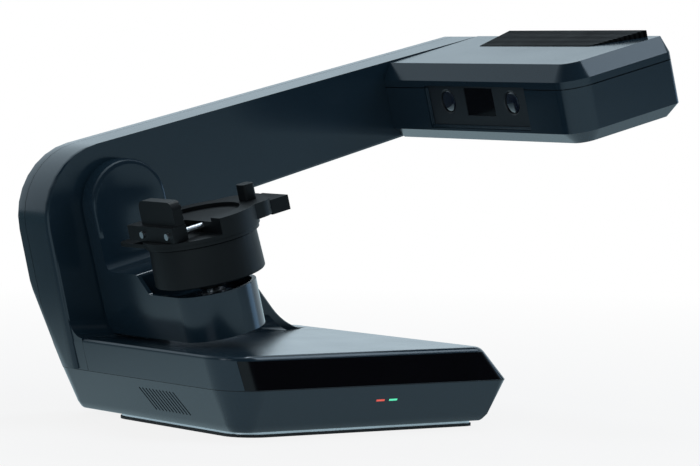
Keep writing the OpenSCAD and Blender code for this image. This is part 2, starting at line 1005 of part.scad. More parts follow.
module optics_plate() {
    color(alu_c)
        leaned()
            difference() {
                block(head_a + 13, head_y + 30, optics_c, arm_reach - 13, frame_y0 - 34,
                      optics_c + optics_t);
                translate([head_a + 50, optic_y + 26, optics_c - 1])
                    cylinder(r = 6, h = 9);
                translate([head_a + 50, optic_y - 26, optics_c - 1])
                    cylinder(r = 6, h = 9);
            }
}

module camera(s) {
    leaned()
        translate([head_a, optic_y + s * camera_pitch / 2, optic_c]) {
            rod_x(9, wall + panel_t + gap, 20);
            rod_x(11, 16, 30);
            block(30 - eps, -15, -15, 62, 15, 15);
            block(34, -10, optics_c + optics_t - optic_c, 58, 10, -15 + eps);
        }
}

module camera_left() {
    color("#222529")
        camera(-1);
}

module camera_right() {
    color("#222529")
        camera(1);
}

module projector() {
    color("#2f3336")
        leaned()
            translate([head_a, optic_y, optic_c]) {
                rod_x(10, wall + panel_t + gap, 26);
                block(24, -21, -17, 72, 21, 17);
                block(30, -14, optics_c + optics_t - optic_c, 66, 14, -17 + eps);
            }
}

module heat_sink() {
    color(alu_c)
        leaned()
            translate([head_a + 72, optic_y, optic_c]) {
                block(0, -20, -16, 3, 20, 16);
                for (i = [0:8])
                    block(3 - eps, -20 + i * 4.75, -16, 16, -20 + i * 4.75 + 1.6, 16);
            }
}

// ---- the swing bracket and the turntable drive ----

plate_y1 = frame_y0 - bracket_gap;
plate_y2 = plate_y1 - bracket_t;
bracket_path = [[-bracket_r, -foot_bottom, 2, 1], [bracket_r, -foot_bottom, 2, 1],
                [bracket_r, bracket_r, bracket_r - 0.1, 1],
                [-bracket_r, bracket_r, bracket_r - 0.1, 1]];
// the rear lower edge is cut back, so the bracket swings clear of the cove
heel_path = [[-bracket_r, -foot_bottom, 2, 1], [bracket_r, -foot_bottom, 2, 0],
             [bracket_r, bracket_r, bracket_r - 0.1, 0],
             [-bracket_r, bracket_r, bracket_r - 0.1, 0]];
heel_rise = 6;
heel_depth = 5.5;
foot_wall = 3;
deck_t = 3;
deck_c = -foot_ring - 7.5;
chamber_y = axis_y + 48;
foot_cover_t = 2.5;

module foot_plan(d = 0) {
    polygon(inset([[-bracket_r, axis_y - bracket_r, bracket_r - 0.1, 1],
                   [bracket_r, axis_y - bracket_r, bracket_r - 0.1, 1],
                   [bracket_r, plate_y1, 0.2, 1], [-bracket_r, plate_y1, 0.2, 1]], d));
}

module foot_side() {
    polygon(inset([[axis_y - 60, -foot_bottom, 0.2, 1],
                   [plate_y1 - heel_depth, -foot_bottom, 0.2, 1],
                   [plate_y1, -foot_bottom + heel_rise, 0.2, 1],
                   [plate_y1, -20, 0.2, 1], [plate_y2, -20, 0.2, 1],
                   [plate_y2, -foot_step, 8, 1], [chamber_y + 2, -foot_step, 3, 1],
                   [chamber_y - 11, -foot_ring, 3, 1], [axis_y - 60, -foot_ring, 0.2, 1]], 0));
}

module swing_bracket() {
    color(shell_c)
        leaned()
            difference() {
                union() {
                    rotate([90, 0, 0])
                        loft([[inset(heel_path, heel_rise, true), -plate_y1],
                              [inset(bracket_path, 0), -plate_y1 + heel_depth],
                              [inset(bracket_path, 0), -plate_y2 - 4],
                              [inset(bracket_path, 1.2), -plate_y2 - 1.2],
                              [inset(bracket_path, 4), -plate_y2]]);
                    intersection() {
                        translate([0, 0, -foot_bottom])
                            linear_extrude(height = foot_bottom)
                                foot_plan();
                        along_x(-bracket_r, bracket_r)
                            foot_side();
                    }
                }
                // the open pocket under the drum
                intersection() {
                    translate([0, 0, deck_c])
                        linear_extrude(height = 60)
                            foot_plan(foot_wall);
                    block(-60, -200, deck_c, 60, chamber_y, 0);
                }
                // the closed chamber behind it and the space for the motor
                intersection() {
                    translate([0, 0, -foot_bottom - 1])
                        linear_extrude(height = 60)
                            foot_plan(foot_wall);
                    union() {
                        block(-60, chamber_y + foot_wall, -foot_bottom - 1, 60,
                              plate_y2 - foot_wall, -foot_step - foot_wall);
                        block(-60, -200, -foot_bottom - 1, 60, plate_y2 - foot_wall,
                              deck_c - deck_t);
                    }
                }
                translate([0, axis_y, deck_c - deck_t - 1])
                    cylinder(r = table_bearing_r, h = deck_t + 2);
                rod_y(swing_shaft_r, plate_y2 + 5, plate_y1 + 1);
            }
}

module swing_shaft() {
    color(steel_c)
        leaned() {
            rod_y(swing_shaft_r, plate_y2 + 5, plate_y);
            rod_y(swing_shaft_r + 4, plate_y1, plate_y1 + bracket_gap - gap);
        }
}

module foot_cover() {
    color(dark_c)
        leaned()
            intersection() {
                translate([0, 0, -foot_bottom])
                    linear_extrude(height = foot_cover_t)
                        foot_plan(foot_wall);
                block(-60, -200, -foot_bottom - 1, 60, plate_y2 - foot_wall, 0);
            }
}

table_bearing_r = 11;

module turntable_bearing() {
    color(steel_c)
        on_axis()
            translate([0, 0, deck_c])
                rotate_extrude()
                    polygon([[spindle_r + running_gap, -deck_t], [table_bearing_r, -deck_t],
                             [table_bearing_r, 0], [table_bearing_r + 3, 0],
                             [table_bearing_r + 3, 2], [table_bearing_r - 2, 2],
                             [table_bearing_r - 2, 4.5], [spindle_r + running_gap, 4.5]]);
}

module turntable_motor() {
    color("#3b3e42")
        on_axis()
            translate([0, 0, deck_c - deck_t]) {
                translate([0, 0, -2])
                    cylinder(r = 20, h = 2);
                translate([0, 0, -17])
                    cylinder(r = 24, h = 15 + eps);
            }
}

drum_bottom = -foot_ring + drum_gap;
drum_top = drum_bottom + drum_h;

module turntable_drum() {
    color(dark_c)
        on_axis()
            rotate_extrude($fn = 96)
                polygon([[spindle_r, drum_bottom - 7.5], [spindle_r + 5, drum_bottom - 7.5],
                         [spindle_r + 5, drum_top - 6], [drum_r - 3, drum_top - 6],
                         [drum_r - 2, drum_bottom], [drum_r + 0.2, drum_bottom],
                         [drum_r + 1, drum_bottom + 1], [drum_r, drum_top - 0.8],
                         [drum_r - 0.8, drum_top], [spindle_r, drum_top]]);
}

module spindle() {
    color(steel_c)
        on_axis()
            translate([0, 0, deck_c - deck_t + gap])
                cylinder(r = spindle_r, h = drum_top - deck_c + deck_t - gap);
}

// ---- the model holder ----

plate_h = 3;
tray_c = drum_top + plate_h;
tray_top = tray_c + tray_h;
notch_a = -8;
notch_c = tray_c + 2.7;
jaw_low = notch_c + gap;
jaw_back = -jaw_face - jaw_t;
rod_r = 2.5;
seat_r = stop_face - 2;
rod_dy = 17;
rod_c = jaw_low + 5;

module holder_plate() {
    color(dark_c)
        on_axis()
            translate([0, 0, drum_top])
                union() {
                    cylinder(r = tray_r - 1, h = plate_h, $fn = 96);
                    // lug at the back left
                    linear_extrude(height = plate_h)
                        polygon(inset([[-37, 10, 1, 1], [-10, 10, 1, 1], [-14, 40, 8, 1],
                                       [-24, 58, 6, 1], [-37, 58, 6, 1]], 0));
                }
}

module wing_plan() {
    polygon(inset([[0, -34, 6, 1], [46, -30, 14, 1], [56, 4, 10, 1], [44, 24, 12, 1],
                   [0, 36, 6, 1]], 0));
}

module model_tray() {
    color(dark_c)
        on_axis()
            difference() {
                union() {
                    translate([0, 0, tray_c])
                        cylinder(r = tray_r, h = tray_h, $fn = 96);
                    translate([0, 0, tray_c + 3])
                        linear_extrude(height = tray_h - 3)
                            wing_plan();
                }
                // shallow seat for the model
                translate([0, 0, tray_c + tray_floor])
                    cylinder(r = seat_r, h = tray_h, $fn = 96);
                // the moving jaw's runway
                block(-60, -60, notch_c, notch_a, 60, tray_top + 1);
                for (s = [-1, 1])
                    translate([0, s * rod_dy, rod_c])
                        rod_x(rod_r, notch_a - 1, notch_a + 12);
            }
}

module guide_rods() {
    color(steel_c)
        on_axis()
            for (s = [-1, 1])
                translate([0, s * rod_dy, rod_c])
                    rod_x(rod_r, jaw_back - 6, notch_a + 12);
}

module moving_jaw() {
    color(dark_c)
        on_axis()
            difference() {
                union() {
                    block(jaw_back - 4, -24, jaw_low, -jaw_face, 38, tray_top - 0.5);
                    // upright with rounded upper corners
                    along_x(jaw_back, -jaw_face)
                        polygon(inset([[-jaw_w / 2, jaw_low + 2, 0.5, 1],
                                       [jaw_w / 2, jaw_low + 2, 0.5, 1],
                                       [jaw_w / 2, tray_top + jaw_h, 6, 1],
                                       [-jaw_w / 2, tray_top + jaw_h, 6, 1]], 0));
                }
                for (s = [-1, 1])
                    translate([0, s * rod_dy, rod_c])
                        rod_x(rod_r + running_gap, -60, 0);
                // grip grooves on the face
                for (i = [0:3])
                    block(-jaw_face - 0.6, -jaw_w, tray_top + 2.5 + i * 4, -jaw_face + 1, jaw_w,
                          tray_top + 3.5 + i * 4);
            }
}

module stop_pin() {
    color(dark_c)
        on_axis()
            translate([stop_face + 6, -8, tray_top])
                linear_extrude(height = stop_h)
                    polygon(inset([[-5, -6, 3, 1], [5, -6, 3, 1], [5, 6, 3, 1], [-5, 6, 3, 1]],
                                  0));
}

module wing_block() {
    color(dark_c)
        on_axis()
            difference() {
                block(50, -20, tray_top - 14, 66, 14, tray_top - 3);
                translate([0, 0, tray_c])
                    linear_extrude(height = tray_h)
                        wing_plan();
            }
}

foot_mat();
bottom_plate();
lower_shell();
base_cover();
front_fascia();
ballast();
main_board();
light_pipe_red();
light_pipe_green();
frame_shell();
frame_back_cover();
back_screws();
spine_plate();
bearing_housing();
swing_motor();
power_inlet();
data_port();
power_button();
switch_body();
head_housing();
head_cover();
vent_grille();
window_panel();
camera_windows();
projector_window();
camera_left();
camera_right();
projector();
heat_sink();
optics_plate();
swing_bracket();
swing_shaft();
foot_cover();
turntable_motor();
turntable_bearing();
turntable_drum();
spindle();
holder_plate();
model_tray();
stop_pin();
wing_block();
moving_jaw();
guide_rods();
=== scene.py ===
# %% [markdown]
# # A desktop 3D scanner in Blender
# This lesson dresses the imported CAD model of a desktop 3D scanner: a low base, a
# leaning C-shaped frame, an optical head and a swinging bracket with a turntable.
# The CAD solids keep their places and their forms. What is added here is what
# Blender is good at: finishes, soft edges, painted shadow strips along the joints,
# lenses, a trim, light and a camera.

# %% Load the frame
import json
import math
import bpy
import bmesh
from mathutils import Matrix, Vector

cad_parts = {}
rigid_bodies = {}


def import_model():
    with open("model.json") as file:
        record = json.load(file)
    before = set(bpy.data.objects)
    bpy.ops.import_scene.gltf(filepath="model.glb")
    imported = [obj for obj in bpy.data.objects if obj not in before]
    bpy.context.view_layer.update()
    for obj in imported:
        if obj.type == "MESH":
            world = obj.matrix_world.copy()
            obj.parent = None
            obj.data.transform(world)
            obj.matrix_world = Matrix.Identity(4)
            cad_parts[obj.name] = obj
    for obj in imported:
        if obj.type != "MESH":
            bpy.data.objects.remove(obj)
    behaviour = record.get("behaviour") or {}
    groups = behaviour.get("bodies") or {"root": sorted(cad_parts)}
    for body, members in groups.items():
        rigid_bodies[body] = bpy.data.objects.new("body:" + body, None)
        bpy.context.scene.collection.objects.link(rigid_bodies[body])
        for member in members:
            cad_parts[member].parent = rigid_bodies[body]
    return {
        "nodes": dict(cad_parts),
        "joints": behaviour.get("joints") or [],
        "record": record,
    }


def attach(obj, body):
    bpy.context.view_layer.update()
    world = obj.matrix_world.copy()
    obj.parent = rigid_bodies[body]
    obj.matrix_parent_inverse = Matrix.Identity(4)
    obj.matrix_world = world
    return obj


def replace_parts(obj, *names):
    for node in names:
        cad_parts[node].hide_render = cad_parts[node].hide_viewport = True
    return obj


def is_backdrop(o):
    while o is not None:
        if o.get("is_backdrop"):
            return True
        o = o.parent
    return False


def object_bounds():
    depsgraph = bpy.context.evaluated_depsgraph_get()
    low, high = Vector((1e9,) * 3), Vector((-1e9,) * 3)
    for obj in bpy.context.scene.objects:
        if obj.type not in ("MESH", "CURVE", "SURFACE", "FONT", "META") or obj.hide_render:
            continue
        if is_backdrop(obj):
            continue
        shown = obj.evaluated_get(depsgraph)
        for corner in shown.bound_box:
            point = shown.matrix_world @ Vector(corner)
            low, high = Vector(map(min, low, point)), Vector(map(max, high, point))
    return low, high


for leftover in list(bpy.data.objects):
    bpy.data.objects.remove(leftover)
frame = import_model()
nodes = frame["nodes"]
cad_box = [list(corner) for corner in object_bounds()]
print("CAD box in metres:", [[round(v, 4) for v in corner] for corner in cad_box])

# %% [markdown]
# ## The leaning axes
# The frame, arm and head all lean back by the same angle, round the swing axis.
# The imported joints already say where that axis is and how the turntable's axis
# leans, so the script reads both from there and works in the leaning axes:
# a along the arm, y to the rear, c up the column.

# %% Leaning axes
joints = {joint["name"]: joint for joint in frame["joints"]}
pivot = Vector(joints["swing"]["pos_m"])
table_axis = Vector(joints["turntable_spin"]["axis"]).normalized()
arm_axis = Vector(joints["jaw_slide"]["axis"]).normalized()
print("lean in degrees:", round(math.degrees(math.atan2(arm_axis.z, arm_axis.x)), 2))


def leaning_point(a, y, c):
    """A point from millimetres in the leaning axes."""
    leaning = (arm_axis * a + table_axis * c) / 1000
    return Vector((pivot.x, 0, pivot.z)) + leaning + Vector((0, y / 1000, 0))


def leaning_matrix(a, y, c):
    """Local X along the arm, Y to the rear, Z up the column."""
    turn = Matrix((arm_axis, Vector((0, 1, 0)), table_axis)).transposed()
    return Matrix.Translation(leaning_point(a, y, c)) @ turn.to_4x4()


# %% [markdown]
# ## Surface patterns, each built once
# A moulded or painted part is never one flat value. Three small node groups hold
# the patterns that several finishes share: a fine grain that gives height, soft
# marks that vary the gloss, and brushing for turned or rolled metal. Each puts out
# only numbers, and each material gives it its own sizes. Building a group once and
# placing it many times keeps the materials short and alike.

# %% Helpers for nodes and groups
def feed(tree, node, inputs):
    """Set each input to a plain value, or link the socket that feeds it."""
    for label, value in inputs.items():
        if isinstance(value, bpy.types.NodeSocket):
            tree.links.new(value, node.inputs[label])
        else:
            node.inputs[label].default_value = value
    return node


def noise(tree, inputs):
    return feed(tree, tree.nodes.new("ShaderNodeTexNoise"), inputs).outputs["Fac"]


def ramp(tree, value, start, stop, low=0.0, high=1.0, kind="LINEAR"):
    """Low up to start and high from stop on, with a slope between them."""
    node = tree.nodes.new("ShaderNodeMapRange")
    node.interpolation_type = kind
    return feed(tree, node, {"Value": value, "From Min": start, "From Max": stop,
                             "To Min": low, "To Max": high}).outputs["Result"]


def new_pattern(name, inputs, output):
    """A group with a vector, numbers by name and one number that comes out."""
    group = bpy.data.node_groups.new(name, "ShaderNodeTree")
    sockets = group.interface
    sockets.new_socket("Vector", in_out="INPUT", socket_type="NodeSocketVector")
    for label, value in inputs.items():
        socket = sockets.new_socket(label, in_out="INPUT", socket_type="NodeSocketFloat")
        socket.default_value = value
    sockets.new_socket(output, in_out="OUTPUT", socket_type="NodeSocketFloat")
    entry = group.nodes.new("NodeGroupInput")
    leave = group.nodes.new("NodeGroupOutput")
    print("group", name, "with", *inputs)
    return group, entry.outputs, leave


# %% Fine grain: the texture of a mould or a spray coat
fine_grain, given, leave = new_pattern("fine_grain", {"Size": 900.0}, "Height")
speckle = noise(fine_grain, {"Vector": given["Vector"], "Scale": given["Size"],
                             "Detail": 3.0})
feed(fine_grain, leave, {"Height": speckle})

# %% Soft marks: slow changes of gloss, as from hands and wiping
soft_marks, given, leave = new_pattern("soft_marks", {"Size": 22.0, "Low": 0.3, "High": 0.4},
                                       "Value")
cloud = noise(soft_marks, {"Vector": given["Vector"], "Scale": given["Size"],
                           "Detail": 4.0, "Roughness": 0.6})
gloss = ramp(soft_marks, cloud, 0.3, 0.7, given["Low"], given["High"])
feed(soft_marks, leave, {"Value": gloss})

# %% Brushing: long thin scratches along the local X axis
brushing, given, leave = new_pattern("brushing", {"Size": 60.0, "Stretch": 40.0}, "Height")
factors = feed(brushing, brushing.nodes.new("ShaderNodeCombineXYZ"),
               {"X": 1.0, "Y": given["Stretch"], "Z": given["Stretch"]})
pulled = brushing.nodes.new("ShaderNodeVectorMath")
pulled.operation = "MULTIPLY"
feed(brushing, pulled, {0: given["Vector"], 1: factors.outputs[0]})
scratches = noise(brushing, {"Vector": pulled.outputs[0], "Scale": given["Size"],
                             "Detail": 2.0})
feed(brushing, leave, {"Height": scratches})

# %% [markdown]
# ## Finishes
# Every finish starts from the same steps: a base colour that wanders a little, a
# gloss from the soft marks and a bump from a grain. The bump is a few hundredths
# of a millimetre or less, so it breaks up reflections without changing the outline.

# %% A finish builder
marks_size = 22.0
coat_rough = 0.12
bump_strength = 0.5
print("marks size:", marks_size, "coat roughness:", coat_rough, "bump:", bump_strength)


def place_group(tree, group, inputs):
    node = tree.nodes.new("ShaderNodeGroup")
    node.node_tree = group
    return feed(tree, node, inputs).outputs[0]


def between(tree, factor, first, second):
    """A colour that goes from the first to the second with the factor."""
    node = tree.nodes.new("ShaderNodeMix")
    node.data_type = "RGBA"
    return feed(tree, node, {"Factor": factor, "A": first, "B": second}).outputs["Result"]


def finish(name, colour, rough, grain=900.0, stretch=None, bump=0.02, lighter=1.25,
           metallic=0.0, coat=0.0, specular=0.5):
    """Colour is linear, rough is (low, high) and bump is in millimetres.

    With a stretch the grain is brushed along X, and lighter is what its tops gain.
    """
    material = bpy.data.materials.new(name)
    material.use_nodes = True
    tree = material.node_tree
    place = tree.nodes.new("ShaderNodeTexCoord").outputs["Object"]
    gloss = place_group(tree, soft_marks, {"Vector": place, "Size": marks_size,
                                           "Low": rough[0], "High": rough[1]})
    pattern, sizes = fine_grain, {"Vector": place, "Size": grain}
    if stretch is not None:
        pattern, sizes = brushing, {**sizes, "Stretch": stretch}
    height = place_group(tree, pattern, sizes)
    lit = [min(1.0, v * lighter) for v in colour]
    relief = feed(tree, tree.nodes.new("ShaderNodeBump"),
                  {"Strength": bump_strength, "Distance": bump / 1000, "Height": height})
    feed(tree, tree.nodes["Principled BSDF"], {
        "Metallic": metallic, "Specular IOR Level": specular,
        "Coat Weight": coat, "Coat Roughness": coat_rough, "Roughness": gloss,
        "Base Color": between(tree, height, (*colour, 1), (*lit, 1)),
        "Normal": relief.outputs["Normal"]})
    return material


# %% [markdown]
# ### The shells
# The shells are injection moulded and sprayed with a satin lacquer, a very dark
# blue-grey with a trace of metal in it. Seen steeply they are almost black, and at
# a flat angle they mirror the room, which is why the top of the base looks pale.
# Everything black on the object is one of a few plainer plastics.

# %% Plastics and paint
finishes = {
    "shell": finish("satin_lacquer", (0.009, 0.021, 0.033), rough=(0.18, 0.21), grain=1600.0,
                    bump=0.001, lighter=1.3, metallic=0.1, coat=0.1, specular=0.34),
    "gloss_black": finish("gloss_black", (0.002, 0.002, 0.003), rough=(0.07, 0.12),
                          grain=400.0, bump=0.002, lighter=1.5, specular=0.2),
    "dark_plastic": finish("dark_plastic", (0.012, 0.017, 0.022), rough=(0.36, 0.46),
                           grain=1200.0, bump=0.03, specular=0.4),
    "matte_black": finish("soft_black_coating", (0.003, 0.004, 0.005), rough=(0.42, 0.52),
                          grain=1500.0, bump=0.03, specular=0.18),
    "grille_black": finish("grille_plastic", (0.003, 0.004, 0.005), rough=(0.55, 0.68),
                           grain=1500.0, bump=0.03, specular=0.15),
    "rubber_mat": finish("rubber", (0.012, 0.012, 0.013), rough=(0.75, 0.9), grain=700.0,
                         bump=0.08),
    "motor": finish("black_enamel", (0.035, 0.037, 0.041), rough=(0.3, 0.4)),
    "board": finish("solder_mask", (0.01, 0.09, 0.035), rough=(0.25, 0.4), grain=300.0,
                    bump=0.03, lighter=1.8),
}
print("plastics and paint:", len(finishes))

# %% [markdown]
# ### Metals
# Screws and shafts are plain steel, the bearing housing and the heat sink are
# aluminium. Both get their look from brushing, which stretches the reflections.

# %% Metals
finishes["steel"] = finish("brushed_steel", (0.50, 0.51, 0.53), rough=(0.24, 0.36),
                           grain=120.0, stretch=30.0, bump=0.01, lighter=1.15, metallic=1.0)
finishes["alloy"] = finish("bright_aluminium", (0.62, 0.63, 0.65), rough=(0.3, 0.42),
                           grain=90.0, stretch=12.0, bump=0.015, lighter=1.1, metallic=1.0)
print("metals:", finishes["steel"].name, finishes["alloy"].name)

# %% [markdown]
# ### Glass and lights
# The windows over the cameras are dark coated glass, so they are glossy and nearly
# black. The two indicators are a diffusing plastic with a little light of its own,
# which is why they still show where the lamps don't reach.

# %% Window glass and indicators
finishes["window_glass"] = finish("coated_glass", (0.006, 0.009, 0.018), rough=(0.03, 0.06),
                                  grain=200.0, bump=0.001, lighter=1.6, coat=1.0)


def indicator(name, colour, strength):
    material = finish(name, colour, rough=(0.25, 0.35), grain=500.0, bump=0.01)
    feed(material.node_tree, material.node_tree.nodes["Principled BSDF"],
         {"Emission Color": (*colour, 1), "Emission Strength": strength})
    return material


finishes["light_red"] = indicator("red_indicator", (0.85, 0.10, 0.07), 0.55)
finishes["light_green"] = indicator("green_indicator", (0.10, 0.75, 0.42), 0.75)
print("finishes:", len(finishes))

# %% [markdown]
# ## Dressing the CAD nodes
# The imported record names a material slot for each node, so one loop gives every
# solid its finish, and no node is forgotten. Two nodes get another black than
# their slot has: the ribs of the vent are matt and drink light, and the projector's
# square window shows only black.

# %% Give every node its finish
other_black = {"vent_grille": "grille_black", "projector_window": "gloss_black"}
for part in frame["record"]["subparts"]:
    for holder in nodes[part["node"]].material_slots:
        holder.material = finishes[other_black.get(part["node"], part["material_slot"])]

# %% [markdown]
# ## Smooth curves, crisp edges
# The solids come as loose triangles, and the wide curves are drawn with short
# flats. A small geometry node tree drops the flat normals, merges the loose corners
# and shades every fold under 28 degrees smooth, so that a curve reads as a curve
# while real edges stay crisp. One tree serves every solid, where shading by hand
# would be done again for each.

# %% Smooth by angle, as a geometry node tree
merge_distance = 1e-6  # metres
smooth_fold = math.radians(28)
smoother = bpy.data.node_groups.new("smooth_shading", "GeometryNodeTree")
for side in ("INPUT", "OUTPUT"):
    smoother.interface.new_socket("Geometry", in_out=side, socket_type="NodeSocketGeometry")
start = smoother.nodes.new("NodeGroupInput")
plain = feed(smoother, smoother.nodes.new("GeometryNodeRemoveAttribute"),
             {"Geometry": start.outputs[0], "Name": "custom_normal"})
merge = feed(smoother, smoother.nodes.new("GeometryNodeMergeByDistance"),
             {"Geometry": plain.outputs["Geometry"], "Distance": merge_distance})
print("corners merge within metres:", merge_distance)

# %% Which folds are smooth
angle = smoother.nodes.new("GeometryNodeInputMeshEdgeAngle")
small = smoother.nodes.new("FunctionNodeCompare")
small.data_type = "FLOAT"
small.operation = "LESS_THAN"
feed(smoother, small, {"A": angle.outputs["Unsigned Angle"], "B": smooth_fold})
faces = smoother.nodes.new("GeometryNodeSetShadeSmooth")
faces.domain = "FACE"
feed(smoother, faces, {"Geometry": merge.outputs["Geometry"]})
folds = smoother.nodes.new("GeometryNodeSetShadeSmooth")
folds.domain = "EDGE"
feed(smoother, folds, {"Geometry": faces.outputs["Geometry"],
                       "Shade Smooth": small.outputs["Result"]})
feed(smoother, smoother.nodes.new("NodeGroupOutput"), {0: folds.outputs["Geometry"]})
print("folds are smooth under degrees:", round(math.degrees(smooth_fold)))

# %% [markdown]
# ## Soft edges
# No moulded edge is sharp, and on a dark body its small round is what draws a thin
# light line along the form. A bevel needs real faces to work from, so the loose
# triangles are welded and each flat is joined first. Afterwards every flat takes its
# normal from its largest face, so that it stays even up to the round. The bracket
# has the widest round. Modifiers do all of it, and the solids stay as they came.

# %% Round the edges of the shells and the clamp
soft_width = {"frame_shell": 0.5, "frame_back_cover": 0.5, "base_cover": 0.6,
              "lower_shell": 0.5, "front_fascia": 0.2, "head_cover": 0.6,
              "head_housing": 0.5, "swing_bracket": 1.6, "turntable_drum": 0.3,
              "holder_plate": 0.4, "model_tray": 0.4, "wing_block": 0.4,
              "stop_pin": 0.4, "moving_jaw": 0.5}  # millimetres
flat_fold = math.radians(0.5)
sharp_fold = math.radians(32)
print("edge rounds in millimetres:", sorted(set(soft_width.values())))


def round_edges(solid, width):
    weld = solid.modifiers.new("weld", "WELD")
    weld.merge_threshold = merge_distance
    joined = solid.modifiers.new("join_flats", "DECIMATE")
    joined.decimate_type = "DISSOLVE"
    joined.angle_limit = flat_fold
    soft = solid.modifiers.new("soft_edges", "BEVEL")
    soft.width = width / 1000
    soft.segments = 3
    soft.limit_method = "ANGLE"
    soft.angle_limit = sharp_fold


def even_flats(solid):
    even = solid.modifiers.new("even_flats", "WEIGHTED_NORMAL")
    even.mode = "FACE_AREA"
    even.weight = 100
    even.keep_sharp = True


# %% Give every node its modifiers
for name, solid in nodes.items():
    if name in soft_width:
        round_edges(solid, soft_width[name])
    shading = solid.modifiers.new("smooth_shading", "NODES")
    shading.node_group = smoother
    if name in soft_width:
        even_flats(solid)
print("smoothed nodes:", len(nodes), "with soft edges:", len(soft_width))

# %% [markdown]
# ## Parting lines, with painted shadow
# Where two shells meet, the narrow gap between them holds shade, and the eye sees a
# thin dark line. A line like that could be painted with a mask, but then it would
# follow the pattern's axes and not the part. Here the line is a real strip: a copy of
# the shell is cut by the parting plane, the cut's outline becomes a ribbon, and the
# ribbon gets a hair of thickness. Its black finish is painted shadow, standing in for
# the shade inside the gap.

# %% From a bmesh to a finished piece
def finished(name, shape, body, slot):
    """A bmesh becomes an object that rides on a body."""
    mesh = bpy.data.meshes.new(name)
    shape.to_mesh(mesh)
    shape.free()
    piece = bpy.data.objects.new(name, mesh)
    bpy.context.scene.collection.objects.link(piece)
    piece.data.materials.append(finishes[slot])
    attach(piece, body)
    print(name, "faces:", len(mesh.polygons))
    return piece


def shift_pulled(shape, pulled, way):
    """Shift what an extrusion has pulled out."""
    corners = [v for v in pulled["geom"] if isinstance(v, bmesh.types.BMVert)]
    bmesh.ops.translate(shape, verts=corners, vec=way)


# %% A painted shadow strip along a parting line, from a cut through a shell
# Size of the black strips that paint the shade in the seams
shadow_strip_height = 0.75  # millimetres
shadow_strip_proud = 0.08
print("parting lines in millimetres:", shadow_strip_height, "high and", shadow_strip_proud, "proud")


# The strip's black is painted shade: it stands in for the shadow in the gap between two
# shells.
def painted_seam_shadow(name, node, point, normal):
    shape = bmesh.new()
    shape.from_mesh(nodes[node].data)
    bmesh.ops.remove_doubles(shape, verts=shape.verts, dist=merge_distance)
    everything = shape.verts[:] + shape.edges[:] + shape.faces[:]
    cut = bmesh.ops.bisect_plane(shape, geom=everything, plane_co=point, plane_no=normal,
                                 clear_inner=True, clear_outer=True)
    outline = {e for e in cut["geom_cut"] if isinstance(e, bmesh.types.BMEdge)}
    rest = [e for e in shape.edges if e not in outline]
    bmesh.ops.delete(shape, geom=rest, context="EDGES")
    bmesh.ops.translate(shape, verts=shape.verts, vec=-normal * shadow_strip_height / 2000)
    raised = bmesh.ops.extrude_edge_only(shape, edges=shape.edges)
    shift_pulled(shape, raised, normal * shadow_strip_height / 1000)
    bmesh.ops.recalc_face_normals(shape, faces=shape.faces)
    bmesh.ops.solidify(shape, geom=shape.faces[:], thickness=2 * shadow_strip_proud / 1000)
    return finished(name, shape, "frame", "matte_black")


# %% Painted shadow strips round the head, the base and the frame
up = Vector((0, 0, 1))
rear = Vector((0, 1, 0))
head_seam_c = 23.3  # millimetres, up the leaning column
base_seam_z = 34.8  # millimetres, over the table
deck_seam_y = 69.8  # millimetres, where the base's cover meets the frame
rear_seam_y = 116.7  # millimetres, where the frame's back cover starts

# Each strip paints the shadow of the gap along one seam.
painted_seam_shadow("head_seam_shadow", "head_housing", leaning_point(0, 0, head_seam_c), table_axis)
painted_seam_shadow("base_seam_shadow", "lower_shell", Vector((0, 0, base_seam_z / 1000)), up)
painted_seam_shadow("deck_seam_shadow", "base_cover", Vector((0, deck_seam_y / 1000, 0)), rear)
painted_seam_shadow("rear_seam_shadow", "frame_shell", Vector((0, rear_seam_y / 1000, 0)), rear)

# %% [markdown]
# ## The camera windows
# Behind the sunk panel sit two cameras. Their windows are small domed lenses, each
# in a thin glossy ring. Both are turned shapes, so one half outline is spun round
# the optical axis. A modelled lens catches a curved highlight that a flat disc of
# glass would never show.

# %% Turn a profile round an axis
spin_steps = 64
pole_distance = 1e-7  # metres
print("steps in a full turn:", spin_steps)


def add_turned(target, profile, place):
    """Profile is (radius, height) in millimetres; place puts local Z where it belongs."""
    shape = bmesh.new()
    line = [shape.verts.new((r / 1000, 0, h / 1000)) for r, h in profile]
    edges = [shape.edges.new(pair) for pair in zip(line, line[1:])]
    bmesh.ops.spin(shape, geom=line + edges, axis=(0, 0, 1), cent=(0, 0, 0),
                   angle=math.tau, steps=spin_steps, use_merge=True)
    bmesh.ops.remove_doubles(shape, verts=shape.verts, dist=pole_distance)
    bmesh.ops.recalc_face_normals(shape, faces=shape.faces)
    for face in shape.faces:
        face.smooth = True
    bmesh.ops.transform(shape, matrix=place, verts=shape.verts)
    scratch = bpy.data.meshes.new("scratch")
    shape.to_mesh(scratch)
    shape.free()
    target.from_mesh(scratch)
    bpy.data.meshes.remove(scratch)


# %% Places and outlines of the windows, in millimetres
panel_face = 257.8  # along the arm
window_depth = 1.4  # from the panel's face to the plane that the outlines start from
window_y = -33.4  # the middle between the two windows
window_c = 12.3  # up the column
window_pitch = 81.0
window_r = 8.2
dome = [(0, 1.45), (2, 1.41), (4, 1.27), (6, 1.0), (7.4, 0.7), (8.0, 0.45), (window_r, 0.2),
        (window_r, -0.6), (0, -0.6)]
ring = [(8.25, 0.2), (8.25, 0.75), (8.4, 0.95), (8.75, 1.0), (9.0, 0.9), (9.1, 0.6),
        (8.6, 0.2), (8.25, 0.2)]
print("windows across in millimetres:", 2 * window_r, "apart:", window_pitch)

